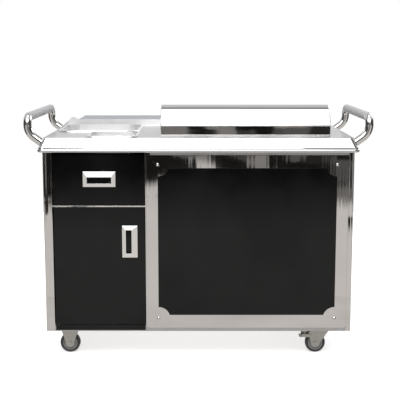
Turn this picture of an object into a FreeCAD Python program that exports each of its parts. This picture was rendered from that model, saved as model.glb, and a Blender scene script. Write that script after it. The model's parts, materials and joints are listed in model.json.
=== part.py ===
"""Push vending cart: a steel cabinet on four castors with a sink, a lidded food well,
a drawer, a cupboard door, a rear shelf and a push handle at each end.

Millimetres. +X is to the right, -Y is the front, +Z is up. The origin is on the floor,
in the middle of the cart's outer box. The sheet "Sizes" drives every piece.
"""
import FreeCAD, Part
import math
import os
import re
import Sketcher
from FreeCAD import Placement, Rotation, Vector

SIZES = [
    ("half_length", 600, "half the cabinet's length"),
    ("front", -450, "plane of the posts' front faces"),
    ("back", 216, "plane of the posts' rear faces"),
    ("base", 108, "underside of the base frame, on the castors"),
    ("post_top", 817, "top of the posts"),
    ("top", 871, "flat of the countertop"),
    ("tube", 20, "side of the frame tubes"),
    ("tube_wall", 1.5, "wall of the frame tubes"),
    ("rail_rise", 24, "height of the base rails"),
    ("left_post", 34, "face width of the wide posts"),
    ("right_post", 20, "face width of the front right post"),
    ("post_round", 3, "rounding of the posts' outer corners"),
    ("top_tube", 15, "width of the top frame's tubes"),
    ("top_inset", 9, "from the front and rear planes to the top frame"),
    ("top_inset_ends", 4.5, "from the flat's ends to the top frame"),
    ("top_clear", 3, "gap between the top frame and the countertop's sheet"),
    ("skin", 1.2, "thickness of the outer sheets"),
    ("sheet", 1.2, "thickness of the folded sheets"),
    ("bay", -206, "left face of the post between the bays"),
    ("seam", 604, "underside of the bar between drawer and door"),
    ("seam_rise", 5, "thickness of that bar"),
    ("seam_deep", 30, "depth of that bar"),
    ("header", 11, "lip of the top frame over the front panel"),
    ("header_in", 2, "from the front plane to that lip"),
    ("pad_side", 120, "side of a castor pad"),
    ("pad_rise", 4, "thickness of a castor pad"),
    ("flat_half", 598, "half the length of the countertop's flat"),
    ("slope_out", 13, "how far the countertop's edge slopes out in front and behind"),
    ("slope_ends", 18, "how far it slopes out at both ends"),
    ("slope_drop", 37, "how far it drops"),
    ("slope_foot", 4, "height of the upright strip between the slope and the bead"),
    ("bead", 6.75, "radius of the rolled bead"),
    ("bead_out", 4, "how far the bead stands out from the strip above it"),
    ("corner", 20, "plan radius of the countertop's corners"),
    ("edge_hollow", 10.5, "how far the hollow below reaches out at the bead"),
    ("edge_wall", 1, "sheet left at the top of the sloping edge"),
    ("panel_left", -202, "left edge of the front panel"),
    ("panel_low", 121.5, "lower edge of the front panel"),
    ("panel_high", 806, "upper edge of the front panel"),
    ("panel_corner", 9, "radius of the front panel's lower corners"),
    ("inset_left", -157, "left edge of the black inset"),
    ("inset_right", 535, "right edge of the black inset"),
    ("inset_low", 174, "lower edge of the black inset"),
    ("inset_high", 756, "upper edge of the black inset"),
    ("screw_gap", 14, "from the inset's edge to the screws' line"),
    ("scallop", 46, "radius of the inset's hollow corners"),
    ("inset_thick", 1, "thickness of the black inset"),
    ("screw_head", 8, "radius of the panel screws' domed heads"),
    ("screw_rise", 4, "height of the domed heads"),
    ("screw", 2.5, "radius of the panel screws"),
    ("screw_long", 12, "length of the panel screws"),
    ("screw_nut", 5, "radius of the panel screws' nuts"),
    ("strip_low", 112, "lower edge of the black strip under the door"),
    ("strip_high", 134, "upper edge of that strip"),
    ("leaf_left", -562, "left edge of the drawer front and the door"),
    ("leaf_right", -208, "right edge of the drawer front and the door"),
    ("leaf_thick", 18, "thickness of the drawer front and the door"),
    ("drawer_low", 611, "lower edge of the drawer front"),
    ("drawer_high", 813, "upper edge of the drawer front"),
    ("door_low", 136, "lower edge of the door"),
    ("door_high", 602.5, "upper edge of the door"),
    ("pivot_in", 12, "from the door's left edge to its pivots"),
    ("pivot_back", 5, "from the posts' front plane to the pivots"),
    ("pivot_pin", 4, "radius of the pivots"),
    ("running", 0.06, "running clearance of a pin in its hole"),
    ("pull_long", 126, "length of a pull"),
    ("pull_wide", 60, "width of a pull"),
    ("pull_rise", 7, "how far a pull stands out"),
    ("pull_end", 17, "end bands of a pull"),
    ("pull_thumb", 23, "wide band of a pull, on the fingers' side"),
    ("pull_low", 15, "narrow band of a pull"),
    ("pull_rim", 1.5, "flat brow around a pull's mouth"),
    ("pull_edge", 1, "upright edge of a pull's frame"),
    ("pull_depth", 13, "depth of a pull's cup"),
    ("pull_behind", 11, "how far the cup reaches behind the wide band"),
    ("pull_wall", 2, "wall of a pull's cup"),
    ("drawer_pull_x", -383, "middle of the drawer's pull"),
    ("drawer_pull_z", 713, "middle of the drawer's pull"),
    ("door_pull_x", -267, "middle of the door's pull"),
    ("door_pull_z", 468, "middle of the door's pull"),
    ("box_left", -545, "left side of the drawer box"),
    ("box_right", -225, "right side of the drawer box"),
    ("box_deep", 288, "depth of the drawer box"),
    ("box_low", 622, "underside of the drawer box"),
    ("box_high", 758, "top edge of the drawer box"),
    ("runner_low", 672, "underside of the drawer runners"),
    ("runner_rise", 26, "height of the drawer runners"),
    ("runner_thick", 7, "thickness of the drawer runners"),
    ("sink_left", -576, "left wall of the sink"),
    ("sink_right", -254, "right wall of the sink"),
    ("sink_near", 277, "from the front plane to the sink"),
    ("sink_far", 640, "from the front plane to the sink's far wall"),
    ("sink_deep", 110, "depth of the sink"),
    ("sink_corner", 60, "corner radius of the sink"),
    ("prep_left", -429, "left wall of the prep pan"),
    ("prep_right", -243, "right wall of the prep pan"),
    ("prep_near", 25, "from the front plane to the prep pan"),
    ("prep_far", 236, "from the front plane to the pan's far wall"),
    ("prep_deep", 65, "depth of the prep pan"),
    ("prep_corner", 30, "corner radius of the prep pan"),
    ("rim_wide", 7, "width of a raised rim"),
    ("rim_rise", 6, "height of a raised rim"),
    ("food_long", 247, "length of a food pan's body"),
    ("food_wide", 144, "width of a food pan's body"),
    ("food_deep", 100, "depth of a food pan"),
    ("food_corner", 22, "corner radius of a food pan"),
    ("food_flange", 9, "width of a food pan's flange"),
    ("food_gap", 30, "metal between the two food pans"),
    ("well_middle", 212, "from the front plane to the middle of the well"),
    ("well_wall", 22, "space around the food pans in the well"),
    ("well_deep", 165, "depth of the well"),
    ("lid_left", -148, "left end of the lid"),
    ("lid_right", 517, "right end of the lid"),
    ("lid_crest", 184, "from the front plane to the lid's highest line"),
    ("lid_high", 989.5, "height of the lid's highest line"),
    ("lid_bend", 98, "bend radius of the lid's front"),
    ("lid_rear_bend", 40, "bend radius of the lid's rear"),
    ("lid_back", 304.3, "from the front plane to the lid's rear face"),
    ("lid_slope", 10, "fall of the lid's flat part to the rear, in degrees"),
    ("lid_lift", 0.5, "gap between the closed lid and the walls below it"),
    ("lid_lip", 3.5, "radius of the rolled lip along the lid's front"),
    ("lid_round", 2.5, "rounding of the lid's ends"),
    ("surround_near", 84, "from the front plane to the walls around the well"),
    ("surround_far", 307, "from the front plane to their rear face"),
    ("surround_rise", 39.5, "height of the walls around the well"),
    ("hinge_out", 5.5, "from those walls' rear face to the hinge pin"),
    ("hinge_up", 6.5, "from those walls' top to the hinge pin"),
    ("hinge_in", 30, "from the lid's ends to the hinge's ends"),
    ("hinge_gap", 0.3, "half the gap between two knuckles"),
    ("leaf_high", 17, "height of the hinge's fixed leaf"),
    ("knuckle", 5, "radius of the hinge knuckles"),
    ("hinge_pin", 2.5, "radius of the lid's hinge pin"),
    ("guard_high", 38, "height of the splash guard's peak"),
    ("guard_peak", 566, "from the middle to the peak"),
    ("guard_low", 27, "height of the rear upstand"),
    ("guard_side", 15, "height of the upstand at its two ends"),
    ("guard_in", 4.5, "from the flat's ends to the upstand's ends"),
    ("guard_near", 260, "from the front plane to the tip of the left wedge"),
    ("guard_back", 7.5, "from the upstand's rear face to the rear plane"),
    ("shelf_half", 542, "half the length of the rear shelf"),
    ("shelf_back", 467, "rear edge of the rear shelf"),
    ("shelf_rise", 25, "height of the shelf's folded edges"),
    ("bracket_low", 610, "foot of the shelf brackets"),
    ("bracket_thick", 4, "thickness of the shelf brackets"),
    ("grip_x", 658, "middle of the handle bars"),
    ("grip_z", 950, "height of the handle bars"),
    ("handle_span", 612, "between a handle's two arms"),
    ("handle_tube", 16, "radius of the handle tube"),
    ("arm_corner", 890, "height where an arm's upright and sloping lines meet"),
    ("arm_slope", 36, "fall of the arms towards the countertop, in degrees"),
    ("arm_bend", 58, "bend radius of the handle arms"),
    ("arm_reach", 10, "how far the arms' middle lines run in past the flat"),
    ("grip_bend", 30, "bend radius at the ends of the handle bar"),
    ("grip_long", 548, "length of the grip sleeve"),
    ("grip_sleeve", 17, "outer radius of the grip sleeve"),
    ("castor_x_left", -517, "rigid castors' middle"),
    ("castor_x_right", 495, "swivel castors' pivot"),
    ("castor_in", 80, "from the front and rear planes to the castors"),
    ("trail", 25, "swivel castors' trail"),
    ("wheel", 40, "radius of the wheels"),
    ("wheel_wide", 28, "width of the tyres"),
    ("core", 29, "radius of the wheel cores"),
    ("axle", 4, "radius of the axles"),
    ("fork_gap", 16.5, "half the gap between a fork's legs"),
    ("fork_leg", 3, "thickness of a fork's legs"),
    ("fork_foot", 17, "radius of a fork's leg around the axle"),
    ("plate_long", 100, "length of a castor's top plate"),
    ("plate_wide", 84, "width of a castor's top plate"),
    ("plate_thick", 3, "thickness of a castor's top plate"),
    ("bolt_x", 40, "castor bolts, from the plate's middle"),
    ("bolt_y", 31, "castor bolts, from the plate's middle"),
    ("bolt", 4, "radius of the castor bolts"),
]

WORD = re.compile(r"[a-z][a-z_]*\b(?!\()")
AXIS_TURN = {
    "x": Rotation(Vector(0, 1, 0), 90),
    "y": Rotation(Vector(1, 0, 0), -90),
    "z": Rotation(),
}
doc = FreeCAD.newDocument("push_vending_cart")
sizes = doc.addObject("Spreadsheet::Sheet", "Sizes")
pieces = []


# ---------------------------------------------------------------- the sheet and its bindings

def fill_sheet():
    for row, (name, value, note) in enumerate(SIZES, 1):
        sizes.set(f"A{row}", name)
        sizes.set(f"B{row}", str(value))
        sizes.set(f"C{row}", note)
        sizes.setAlias(f"B{row}", name)
    doc.recompute()


def size(name):
    return float(getattr(sizes, name))


def sheet_words(text):
    """Puts the sheet's name before every size in an expression."""
    return WORD.sub(lambda found: "Sizes." + found.group(), str(text))


def bind(item, settings):
    for path, text in settings.items():
        item.setExpression(path, sheet_words(text))


def piece(item, label):
    """Marks an object as one of the cart's pieces."""
    item.Label = label
    pieces.append(item)
    return item


# ---------------------------------------------------------------- primitives and booleans

def block(name, x, y, z):
    """A square block between two planes on each axis."""
    item = doc.addObject("Part::Box", name)
    bind(item, {
        "Length": f"{x[1]} - ({x[0]})",
        "Width": f"{y[1]} - ({y[0]})",
        "Height": f"{z[1]} - ({z[0]})",
        "Placement.Base.x": x[0],
        "Placement.Base.y": y[0],
        "Placement.Base.z": z[0],
    })
    return item


def rod(name, axis, start, radius, length):
    """A round bar from its start point along +x, +y or +z."""
    item = doc.addObject("Part::Cylinder", name)
    item.Placement = Placement(Vector(), AXIS_TURN[axis])
    bind(item, {
        "Radius": radius,
        "Height": length,
        "Placement.Base.x": start[0],
        "Placement.Base.y": start[1],
        "Placement.Base.z": start[2],
    })
    return item


def taper(name, near, far, y):
    """A block that tapers from one rectangle at y[0] to another at y[1].

    near and far are (x0, x1, z0, z1).
    """
    item = doc.addObject("Part::Wedge", name)
    bind(item, {
        "Xmin": near[0], "Xmax": near[1], "Zmin": near[2], "Zmax": near[3],
        "X2min": far[0], "X2max": far[1], "Z2min": far[2], "Z2max": far[3],
        "Ymin": y[0], "Ymax": y[1],
    })
    return item


def frustum(name, low, high, z):
    """A block that tapers from one rectangle at z[0] to another at z[1].

    low and high are (x0, x1, y0, y1).
    """
    item = taper(name, (low[0], low[1], f"-({low[3]})", f"-({low[2]})"),
                 (high[0], high[1], f"-({high[3]})", f"-({high[2]})"), z)
    item.Placement = Placement(Vector(), Rotation(Vector(1, 0, 0), 90))
    return item


def fuse(name, *parts):
    item = doc.addObject("Part::MultiFuse", name)
    item.Shapes = list(parts)
    item.Refine = True
    return item


def group(name, *parts):
    """Separate solids that share one node."""
    item = doc.addObject("Part::Compound", name)
    item.Links = list(parts)
    return item


def cut(name, base, *tools):
    item = doc.addObject("Part::Cut", name)
    item.Base = base
    item.Tool = tools[0] if len(tools) == 1 else group(name + "_tools", *tools)
    return item


def round_edges(name, base, radius, wanted):
    """Rounds the edges of a primitive or boolean that wanted() picks."""
    doc.recompute()
    item = doc.addObject("Part::Fillet", name)
    item.Base = base
    item.Edges = [(number, radius, radius)
                  for number, edge in enumerate(base.Shape.Edges, 1) if wanted(edge)]
    return item


def spans(edge, axis):
    """Whether an edge runs mostly along one axis."""
    ends = edge.Vertexes[-1].Point - edge.Vertexes[0].Point
    across = {"x": abs(ends.x), "y": abs(ends.y), "z": abs(ends.z)}
    length = across.pop(axis)
    return length > 1 and length > 2 * max(across.values())


def upright(edge):
    return spans(edge, "z")


def at_height(height):
    """Picks the edges that lie in one level plane."""
    return lambda edge: all(abs(v.Z - height) < 0.01 for v in edge.Vertexes)


def at_depth(depth):
    """Picks the edges that lie in one plane facing the front."""
    return lambda edge: all(abs(v.Y - depth) < 0.01 for v in edge.Vertexes)


def box_tube(name, axis, x, y, z):
    """A square tube, open at both ends of its axis."""
    inside = {}
    for word, (low, high) in {"x": x, "y": y, "z": z}.items():
        if word == axis:
            inside[word] = (f"{low} - 1", f"{high} + 1")
        else:
            inside[word] = (f"{low} + tube_wall", f"{high} - tube_wall")
    outer = block(name + "_outside", x, y, z)
    inner = block(name + "_inside", inside["x"], inside["y"], inside["z"])
    return cut(name, outer, inner)


def rounded_block(name, x, y, z, corner):
    """A block with rounded upright corners."""
    square = block(name + "_square", x, y, z)
    return round_edges(name, square, corner, upright)


def basin(name, x, y, z, corner, wall, floor_round, rim=None):
    """A pan between z[0] and z[1], with rounded corners and floor.

    rim is (width, rise) of a raised rim that stands on z[1].
    """
    outer = rounded_block(name + "_outer", x, y, z, corner)
    rise = "0"
    if rim:
        wide, rise = rim
        edge_x = (f"{x[0]} - {wide}", f"{x[1]} + {wide}")
        edge_y = (f"{y[0]} - {wide}", f"{y[1]} + {wide}")
        edge_z = (z[1], f"{z[1]} + {rise}")
        ring = rounded_block(name + "_ring", edge_x, edge_y, edge_z, corner + size("rim_wide"))
        doc.recompute()
        crown = ring.Shape.BoundBox.ZMax
        softness = min(2.5, 0.45 * (crown - ring.Shape.BoundBox.ZMin))
        ring = round_edges(name + "_rim", ring, softness, at_height(crown))
        outer = fuse(name + "_body", outer, ring)
    inner = rounded_block(
        name + "_space",
        (f"{x[0]} + {wall}", f"{x[1]} - {wall}"),
        (f"{y[0]} + {wall}", f"{y[1]} - {wall}"),
        (f"{z[0]} + {wall}", f"{z[1]} + {rise} + 1"),
        corner - 1.5,
    )
    doc.recompute()
    floor = inner.Shape.BoundBox.ZMin
    inner = round_edges(name + "_hollow", inner, floor_round, at_height(floor))
    return cut(name, outer, inner)


# ---------------------------------------------------------------- bodies made from sketches

def new_body(label):
    body = doc.addObject("PartDesign::Body", label)
    return piece(body, label)


def sketch_on(body, name, role, offset):
    plane = next(item for item in body.Origin.OriginFeatures if item.Role == role)
    sketch = body.newObject("Sketcher::SketchObject", name)
    sketch.AttachmentSupport = (plane, [""])
    sketch.MapMode = "FlatFace"
    bind(sketch, {"AttachmentOffset.Base.z": offset})
    return sketch


def outline(sketch, points):
    """A closed outline of straight lines whose corners are bound to the sheet."""
    count = len(points)
    ring = [Vector(100 * math.cos(2 * math.pi * i / count),
                   100 * math.sin(2 * math.pi * i / count), 0) for i in range(count)]
    for i in range(count):
        sketch.addGeometry(Part.LineSegment(ring[i], ring[(i + 1) % count]), False)
    for i in range(count):
        sketch.addConstraint(Sketcher.Constraint("Coincident", i, 2, (i + 1) % count, 1))
    for i, point in enumerate(points):
        for kind, text in zip(("DistanceX", "DistanceY"), point):
            index = sketch.addConstraint(Sketcher.Constraint(kind, -1, 1, i, 1, 1.0))
            sketch.setExpression(f"Constraints[{index}]", sheet_words(text))


def rectangle(u, v):
    return [(u[0], v[0]), (u[1], v[0]), (u[1], v[1]), (u[0], v[1])]


def pad(body, name, role, points, start, end):
    """Material between two planes; start and end are world positions along the plane's axis."""
    facing_front = role == "XZ_Plane"
    sketch = sketch_on(body, name + "_sketch", role, f"-({end})" if facing_front else start)
    outline(sketch, points)
    feature = body.newObject("PartDesign::Pad", name)
    feature.Profile = sketch
    bind(feature, {"Length": f"{end} - ({start})"})
    return feature


def pocket(body, name, points, face, depth):
    """A recess cut into a body from its front face."""
    sketch = sketch_on(body, name + "_sketch", "XZ_Plane", f"-({face})")
    outline(sketch, points)
    feature = body.newObject("PartDesign::Pocket", name)
    feature.Profile = sketch
    bind(feature, {"Length": depth})
    return feature


def drill(body, name, role, centre, radius, face, depth, reverse=False):
    """A round hole; centre is on the plane, face is where the hole starts."""
    facing_front = role == "XZ_Plane"
    sketch = sketch_on(body, name + "_sketch", role, f"-({face})" if facing_front else face)
    sketch.addGeometry(Part.Circle(Vector(1, 1, 0), Vector(0, 0, 1), 2), False)
    for kind, text in zip(("DistanceX", "DistanceY"), centre):
        index = sketch.addConstraint(Sketcher.Constraint(kind, -1, 1, 0, 3, 1.0))
        sketch.setExpression(f"Constraints[{index}]", sheet_words(text))
    index = sketch.addConstraint(Sketcher.Constraint("Radius", 0, 2.0))
    sketch.setExpression(f"Constraints[{index}]", sheet_words(radius))
    feature = body.newObject("PartDesign::Pocket", name)
    feature.Profile = sketch
    feature.Reversed = reverse
    bind(feature, {"Length": depth})
    return feature


def soften(body, name, radius, wanted):
    """Rounds the edges of the body's last feature that wanted() picks."""
    doc.recompute()
    tip = body.Tip
    edges = [f"Edge{number}" for number, edge in enumerate(tip.Shape.Edges, 1) if wanted(edge)]
    feature = body.newObject("PartDesign::Fillet", name)
    feature.Base = (tip, edges)
    bind(feature, {"Radius": radius})
    return feature


def turned(body, name, points):
    """A ring turned about the Y axis of the body; points are (radius, width position)."""
    sketch = sketch_on(body, name + "_sketch", "XY_Plane", "0")
    outline(sketch, points)
    feature = body.newObject("PartDesign::Revolution", name)
    feature.Profile = sketch
    feature.ReferenceAxis = (sketch, ["V_Axis"])
    feature.Angle = 360
    return feature


# ---------------------------------------------------------------- frame

def base_frame():
    inner_front = "front + tube"
    inner_back = "back - skin - tube"
    rails_z = ("base", "base + rail_rise")
    parts = [
        box_tube("base_front_rail", "x", ("-half_length + left_post", "half_length - right_post"),
                 ("front", inner_front), rails_z),
        box_tube("base_rear_rail", "x", ("-half_length + left_post", "half_length - left_post"),
                 (inner_back, "back - skin"), rails_z),
        box_tube("base_left_rail", "y", ("-half_length + skin", "-half_length + skin + tube"),
                 (inner_front, inner_back), rails_z),
        box_tube("base_right_rail", "y", ("half_length - skin - tube", "half_length - skin"),
                 (inner_front, inner_back), rails_z),
    ]
    in_rail = "half_length - skin - 1"
    reach = {"left": (f"-({in_rail})", "castor_x_left + pad_side / 2"),
             "right": ("castor_x_right - pad_side / 2", in_rail)}
    for side, x in (("left", "castor_x_left"), ("right", "castor_x_right")):
        for row, y in (("front", "front + castor_in"), ("rear", "back - castor_in")):
            name = f"{row}_{side}_pad"
            plate = block(name, reach[side],
                          (f"{y} - pad_side / 2", f"{y} + pad_side / 2"),
                          ("base", "base + pad_rise"))
            holes = [rod(f"{name}_hole_{i}", "z",
                         (f"{x} + {sx} * bolt_x", f"{y} + {sy} * bolt_y", "base - 1"),
                         "bolt + 0.3", "pad_rise + 2")
                     for i, (sx, sy) in enumerate(((1, 1), (1, -1), (-1, 1), (-1, -1)))]
            parts.append(cut(name + "_drilled", plate, *holes))
    piece(fuse("base_frame", *parts), "base_frame")


def post(name, x, y):
    tube = box_tube(name + "_tube", "z", x, y, ("base", "post_top"))
    doc.recompute()
    bounds = tube.Shape.BoundBox
    outer_x = bounds.XMin if bounds.XMin < -500 else bounds.XMax
    outer_y = bounds.YMin if bounds.YMin < 0 else bounds.YMax

    def corner(edge):
        return upright(edge) and all(
            abs(v.X - outer_x) < 0.01 and abs(v.Y - outer_y) < 0.01 for v in edge.Vertexes)
    return round_edges(name, tube, size("post_round"), corner)


def posts():
    front_y = ("front", "front + tube")
    rear_y = ("back - tube", "back")
    left_x = ("-half_length", "-half_length + left_post")
    piece(post("front_left_post", left_x, front_y), "front_left_post")
    piece(post("front_right_post", ("half_length - right_post", "half_length"), front_y),
          "front_right_post")
    rear_right_x = ("half_length - left_post", "half_length")
    piece(group("rear_posts", post("rear_left_post", left_x, rear_y),
                post("rear_right_post", rear_right_x, rear_y)), "rear_posts")


def bay_post():
    upright_tube = box_tube("bay_tube", "z", ("bay", "bay + tube"), ("front", "front + tube"),
                            ("base + rail_rise", "post_top"))
    bar = block("seam_bar", ("-half_length + left_post", "bay"), ("front", "front + seam_deep"),
                ("seam", "seam + seam_rise"))
    piece(fuse("bay_post", upright_tube, bar), "bay_post")


def top_frame():
    x = ("-flat_half + top_inset_ends", "flat_half - top_inset_ends")
    rise = ("post_top", "top - sheet - top_clear")
    front_y = ("front + top_inset", "front + top_inset + top_tube")
    rear_y = ("back - top_inset - top_tube", "back - top_inset")
    between = (front_y[1], rear_y[0])
    parts = [
        box_tube("top_front_rail", "x", x, front_y, rise),
        box_tube("top_rear_rail", "x", x, rear_y, rise),
        box_tube("top_left_rail", "y", (x[0], f"{x[0]} + top_tube"), between, rise),
        box_tube("top_right_rail", "y", (f"{x[1]} - top_tube", x[1]), between, rise),
        box_tube("top_bay_rail", "y", ("bay", "bay + tube"), between, rise),
        block("header_lip", ("bay + tube", "half_length - right_post"),
              ("front + header_in", "front + tube"), ("post_top - header", "post_top + tube_wall")),
    ]
    piece(fuse("top_frame", *parts), "top_frame")


# ---------------------------------------------------------------- sheet walls

def wall(label, x, y, z):
    body = new_body(label)
    pad(body, "sheet_" + label, "XY_Plane", rectangle(x, y), z[0], z[1])
    return body


def walls():
    inside_y = ("front + tube", "back - tube")
    full_z = ("base", "post_top")
    wall("left_side_panel", ("-half_length", "-half_length + skin"), inside_y, full_z)
    wall("right_side_panel", ("half_length - skin", "half_length"), inside_y, full_z)
    wall("rear_panel", ("-half_length + left_post", "half_length - left_post"),
         ("back - skin", "back"), full_z)
    wall("floor_panel", ("-half_length + skin", "half_length - skin"), inside_y,
         ("base + rail_rise", "base + rail_rise + sheet"))
    wall("partition_panel", ("bay + tube / 2", "bay + tube / 2 + sheet"),
         ("front + tube", "back - skin"), ("base + rail_rise + sheet", "post_top"))
    strip = wall("kick_strip", ("leaf_left", "leaf_right"), ("front - skin", "front"),
                 ("strip_low", "strip_high"))
    soften(strip, "strip_edges", "skin / 2", at_depth(size("front") - size("skin")))


def screw_places():
    for x in ("inset_left", "inset_right"):
        for z in ("inset_low - screw_gap", "inset_high + screw_gap"):
            yield x, z


def front_panel():
    face = "front - skin"
    body = new_body("front_panel")
    pad(body, "panel_sheet", "XZ_Plane",
        rectangle(("panel_left", "half_length - right_post"), ("panel_low", "panel_high")),
        face, "front")
    soften(body, "panel_corners", "panel_corner", lambda edge: spans(edge, "y")
           and edge.BoundBox.ZMax < size("panel_low") + 1)
    soften(body, "panel_edges", "skin / 2", at_depth(size("front") - size("skin")))
    for number, (x, z) in enumerate(screw_places()):
        drill(body, f"panel_hole_{number}", "XZ_Plane", (x, z), "screw + running", face, "skin")


def front_inset():
    face = "front - skin"
    sheet = block("inset_sheet", ("inset_left", "inset_right"), (f"{face} - inset_thick", face),
                  ("inset_low", "inset_high"))
    scallops = [rod(f"scallop_{number}", "y", (x, f"{face} - 2", z), "scallop", 3)
                for number, (x, z) in enumerate(screw_places())]
    piece(cut("front_inset", sheet, *scallops), "front_inset")


def panel_screws():
    face = "front - skin"
    screws = []
    for number, (x, z) in enumerate(screw_places()):
        dome = doc.addObject("Part::Sphere", f"screw_dome_{number}")
        bind(dome, {"Radius": "screw_head", "Placement.Base.x": x, "Placement.Base.z": z,
                    "Placement.Base.y": f"{face} - screw_rise + screw_head"})
        disc = rod(f"screw_disc_{number}", "y", (x, f"{face} - screw_rise - 1", z),
                   "screw_head", "screw_rise + 1")
        head = doc.addObject("Part::MultiCommon", f"screw_head_{number}")
        head.Shapes = [dome, disc]
        shank = rod(f"screw_shank_{number}", "y", (x, face, z), "screw", "screw_long")
        nut = rod(f"screw_nut_{number}", "y", (x, "front", z), "screw_nut", "screw_rise")
        screws.append(fuse(f"screw_{number}", head, shank, nut))
    piece(group("panel_screws", *screws), "panel_screws")


# ---------------------------------------------------------------- countertop

def counter_outside():
    """The countertop's outer form: a sloping edge, an upright strip and a rolled bead."""
    flat = ("-flat_half", "flat_half", "front", "back")
    foot = ("-flat_half - slope_ends", "flat_half + slope_ends",
            "front - slope_out", "back + slope_out")
    slope_end = "top - slope_drop"
    bead_top = f"{slope_end} - slope_foot"
    slope = frustum("top_slope", foot, flat, (slope_end, "top"))
    slope = round_edges("top_form", slope, size("corner"), upright)
    strip = rounded_block("foot_strip", foot[:2], foot[2:],
                          (f"{bead_top} - bead", slope_end), size("corner"))
    band = rounded_block("bead_block", (f"{foot[0]} - bead_out", f"{foot[1]} + bead_out"),
                         (f"{foot[2]} - bead_out", f"{foot[3]} + bead_out"),
                         (f"{bead_top} - 2 * bead", bead_top),
                         size("corner") + size("bead_out"))
    doc.recompute()
    low = band.Shape.BoundBox.ZMin
    high = band.Shape.BoundBox.ZMax
    roll = 0.98 * size("bead")
    band = round_edges("bead_roll", band, roll,
                       lambda edge: at_height(low)(edge) or at_height(high)(edge))
    return fuse("counter_form", slope, strip, band)


def food_pan_places():
    middle_y = "front + well_middle"
    low_y = f"{middle_y} - food_wide / 2"
    high_y = f"{middle_y} + food_wide / 2"
    middle_x = "(lid_left + lid_right) / 2"
    return {
        "food_pan_left": ((f"{middle_x} - food_gap / 2 - food_long",
                           f"{middle_x} - food_gap / 2"), (low_y, high_y)),
        "food_pan_right": ((f"{middle_x} + food_gap / 2",
                            f"{middle_x} + food_gap / 2 + food_long"), (low_y, high_y)),
    }


def countertop(form):
    hollow = frustum(
        "counter_hollow",
        ("-flat_half - edge_hollow", "flat_half + edge_hollow",
         "front - edge_hollow", "back + edge_hollow"),
        ("-flat_half + edge_wall", "flat_half - edge_wall",
         "front + edge_wall", "back - edge_wall"),
        ("post_top - 1", "top - sheet"))
    hollow = round_edges("counter_space", hollow, size("corner") - size("edge_wall"), upright)
    shell = cut("counter_shell", form, hollow)
    through = ("top - 10", "top + 10")
    openings = [
        rounded_block("sink_opening", ("sink_left - sheet", "sink_right + sheet"),
                      ("front + sink_near - sheet", "front + sink_far + sheet"), through,
                      size("sink_corner") + 1.5),
        rounded_block("prep_opening", ("prep_left - 1", "prep_right + 1"),
                      ("front + prep_near - 1", "front + prep_far + 1"), through,
                      size("prep_corner")),
    ]
    for name, (x, y) in food_pan_places().items():
        openings.append(rounded_block(name + "_opening", (f"{x[0]} - 1", f"{x[1]} + 1"),
                                      (f"{y[0]} - 1", f"{y[1]} + 1"), through,
                                      size("food_corner")))
    piece(cut("countertop", shell, *openings), "countertop")


def splash_guard():
    rear = "back - guard_back"
    left, right = "-flat_half + guard_in", "flat_half - guard_in"
    body = new_body("splash_guard")
    pad(body, "upstand", "XZ_Plane",
        [(left, "top"), (right, "top"), (right, "top + guard_side"),
         ("shelf_half", "top + guard_low"), ("-shelf_half", "top + guard_low"),
         ("-guard_peak", "top + guard_high"), (left, "top + guard_side")],
        f"{rear} - sheet", rear)
    pad(body, "wedge", "YZ_Plane",
        [("front + guard_near", "top"), (rear, "top"), (rear, "top + guard_side")],
        left, f"{left} + sheet")


def rear_shelf():
    front_edge = "back - guard_back"
    tray = rounded_block("shelf_block", ("-shelf_half", "shelf_half"),
                         (front_edge, "shelf_back"),
                         ("top + guard_low - shelf_rise", "top + guard_low"), 4)
    doc.recompute()
    tray = round_edges("shelf_form", tray, 2, at_height(tray.Shape.BoundBox.ZMax))
    space = block("shelf_space", ("-shelf_half + sheet", "shelf_half - sheet"),
                  (f"{front_edge} + sheet", "shelf_back - sheet"),
                  ("top + guard_low - shelf_rise - 1", "top + guard_low - sheet"))
    piece(cut("rear_shelf", tray, space), "rear_shelf")


def shelf_brackets():
    reach = "shelf_back - 60"
    clear = "back + slope_out + bead_out + 8"
    under = "top + guard_low - sheet"
    plates = []
    for number, x in enumerate(("-shelf_half + 90", "-bracket_thick / 2",
                                "shelf_half - 90 - bracket_thick")):
        body = doc.addObject("PartDesign::Body", f"bracket_{number}")
        pad(body, f"bracket_plate_{number}", "YZ_Plane",
            [("back", "bracket_low"), ("back + 14", "bracket_low"),
             (reach, f"{under} - 22"), (reach, under), (clear, under),
             (clear, "post_top - 12"), ("back", "post_top - 12")],
            x, f"{x} + bracket_thick")
        pad(body, f"bracket_foot_{number}", "YZ_Plane",
            rectangle(("back", "back + bracket_thick"), ("bracket_low", "post_top - 12")),
            f"{x} - 18", f"{x} + 22")
        plates.append(body)
    piece(group("shelf_brackets", *plates), "shelf_brackets")


# ---------------------------------------------------------------- sink, pans and well

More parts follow.
